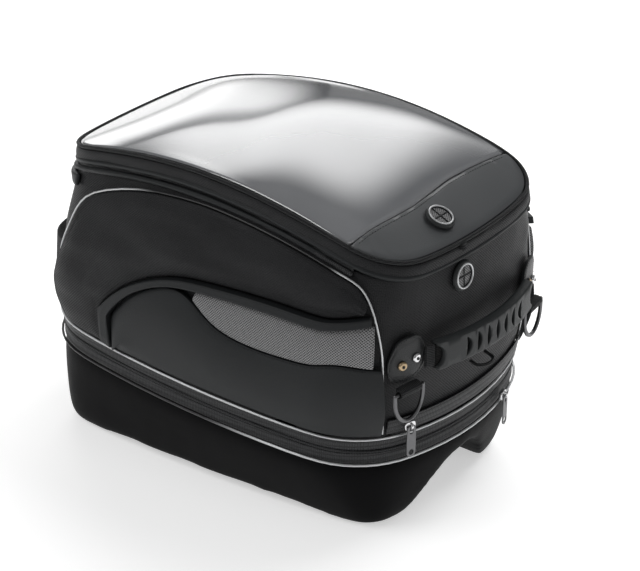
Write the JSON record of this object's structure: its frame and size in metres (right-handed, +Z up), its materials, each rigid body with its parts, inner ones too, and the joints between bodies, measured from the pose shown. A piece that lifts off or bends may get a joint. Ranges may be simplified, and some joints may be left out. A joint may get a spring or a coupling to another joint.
{
  "type": "tank bag",
  "caption": "Motorcycle tank bag on a zip-off moulded saddle base, with an arched zip-round lid carrying a clear map window, side pockets, front handle, strap rings and a rear grab strap.",
  "frame": {"origin": "on the surface the saddle's legs rest on, under the middle of the bounding box", "axes": "+X towards the handle end (the front), +Y to the bag's left, +Z up out of the lid"},
  "size_m": [0.441, 0.2936, 0.2991],
  "materials": {
    "shell_fabric": "woven ballistic nylon, matt black",
    "smooth_fabric": "smooth coated fabric, matt black",
    "lining_fabric": "plain grey lining",
    "webbing": "ribbed black webbing and zip tape",
    "reflective": "silver retro-reflective piping",
    "mesh_fabric": "open grey mesh over dark cloth",
    "vinyl": "smooth dark grey vinyl",
    "clear_sheet": "clear glossy soft PVC",
    "map_sheet": "pale grey map pocket backing",
    "moulded_base": "smooth moulded foam, satin black",
    "board": "black stiffener board",
    "rubber": "matt dark grey moulded rubber",
    "leather": "pressed black leather-like patch",
    "chrome": "bright chrome",
    "brass": "worn brass",
    "dark_metal": "dark nickel, satin"
  },
  "bodies": {
    "base": {"saddle_base": "moulded_base", "saddle_lining": "rubber", "base_board": "board", "lower_piping": "reflective", "base_zip_tape_lower": "webbing"},
    "bag": {"bag_shell": "shell_fabric", "bag_lining": "lining_fabric", "floor_board": "board", "upper_piping": "reflective", "base_zip_tape_upper": "webbing", "base_zip_coil": "webbing", "front_zip_tape": "webbing", "main_zip_tape_lower": "webbing", "rear_rain_flap": "smooth_fabric", "rear_grab_strap": "webbing", "centre_loop": "webbing", "front_port": "rubber", "front_port_membrane": "mesh_fabric", "side_panel_left": "shell_fabric", "side_piping_left": "reflective", "side_pocket_left": "smooth_fabric", "pocket_mesh_left": "mesh_fabric", "pocket_welt_left": "smooth_fabric", "anchor_patch_left": "leather", "patch_rivet_left_1": "chrome", "patch_rivet_left_2": "brass", "ring_tab_left": "webbing", "side_panel_right": "shell_fabric", "side_piping_right": "reflective", "side_pocket_right": "smooth_fabric", "pocket_mesh_right": "mesh_fabric", "pocket_welt_right": "smooth_fabric", "anchor_patch_right": "leather", "patch_rivet_right_1": "brass", "patch_rivet_right_2": "chrome", "ring_tab_right": "webbing"},
    "lid": {"lid_rim": "shell_fabric", "lid_binding": "webbing", "map_window": "clear_sheet", "map_backing": "map_sheet", "lid_vinyl_front": "vinyl", "lid_lining": "lining_fabric", "main_zip_tape_upper": "webbing", "lid_port": "rubber", "lid_port_membrane": "mesh_fabric"},
    "handle": {"grip": "rubber", "handle_strap": "webbing", "strap_end_left": "webbing", "strap_end_right": "webbing"},
    "ring_left": {"d_ring_left": "dark_metal"},
    "ring_right": {"d_ring_right": "dark_metal"},
    "front_slider": {"front_zip_slider": "chrome"},
    "front_pull": {"front_zip_pull": "dark_metal"},
    "base_slider": {"base_zip_slider": "chrome"},
    "base_pull": {"base_zip_pull": "dark_metal"},
    "main_left_slider": {"main_zip_left_slider": "chrome"},
    "main_left_pull": {"main_zip_left_pull": "dark_metal"},
    "main_right_slider": {"main_zip_right_slider": "chrome"},
    "main_right_pull": {"main_zip_right_pull": "dark_metal"}
  },
  "joints": [
    {"name": "bag_lift", "type": "slide", "parent": "base", "child": "bag", "axis": [0, 0, 1], "range_m": [0, 0.12]},
    {"name": "lid_open", "type": "hinge", "parent": "bag", "child": "lid", "pos_m": [0.1988, 0, 0.23563], "axis": [0, 1, 0], "range_deg": [0, 110]},
    {"name": "handle_swing", "type": "hinge", "parent": "bag", "child": "handle", "pos_m": [0.1965, 0, 0.169], "axis": [0, -1, 0], "range_deg": [-10, 10]},
    {"name": "ring_left_swing", "type": "hinge", "parent": "bag", "child": "ring_left", "pos_m": [0.1965, 0.0905, 0.1445], "axis": [0.1392, -0.9903, 0], "range_deg": [-5, 100]},
    {"name": "ring_right_swing", "type": "hinge", "parent": "bag", "child": "ring_right", "pos_m": [0.1965, -0.0905, 0.1445], "axis": [-0.1392, -0.9903, 0], "range_deg": [-5, 100]},
    {"name": "front_zip_slide", "type": "hinge", "parent": "bag", "child": "front_slider", "pos_m": [-0.05858, 0, 0.11544], "axis": [0.0449, 0, 0.999], "range_deg": [0, 26]},
    {"name": "front_pull_swing", "type": "hinge", "parent": "front_slider", "child": "front_pull", "pos_m": [0.19262, -0.08029, 0.10424], "axis": [-0.3045, -0.9525, 0], "range_deg": [0, 120]},
    {"name": "base_zip_slide", "type": "hinge", "parent": "base", "child": "base_slider", "pos_m": [-0.037, 0, 0.0867], "axis": [-0.0449, 0, -0.999], "range_deg": [0, 25]},
    {"name": "base_pull_swing", "type": "hinge", "parent": "base_slider", "child": "base_pull", "pos_m": [0.19885, 0.04953, 0.07621], "axis": [0.2055, -0.9786, 0], "range_deg": [0, 120]},
    {"name": "main_zip_left_slide", "type": "hinge", "parent": "bag", "child": "main_left_slider", "pos_m": [0.3251, 0, 0.23505], "axis": [0, 0, -1], "range_deg": [0, 6]},
    {"name": "main_left_pull_swing", "type": "hinge", "parent": "main_left_slider", "child": "main_left_pull", "pos_m": [-0.18274, 0.00956, 0.23548], "axis": [0.0275, 0.9988, 0.0398], "range_deg": [0, 120]},
    {"name": "main_zip_right_slide", "type": "hinge", "parent": "bag", "child": "main_right_slider", "pos_m": [0.3251, 0, 0.23505], "axis": [0, 0, 1], "range_deg": [0, 6]},
    {"name": "main_right_pull_swing", "type": "hinge", "parent": "main_right_slider", "child": "main_right_pull", "pos_m": [-0.18274, -0.00956, 0.23548], "axis": [-0.0275, 0.9988, -0.0398], "range_deg": [0, 120]}
  ]
}
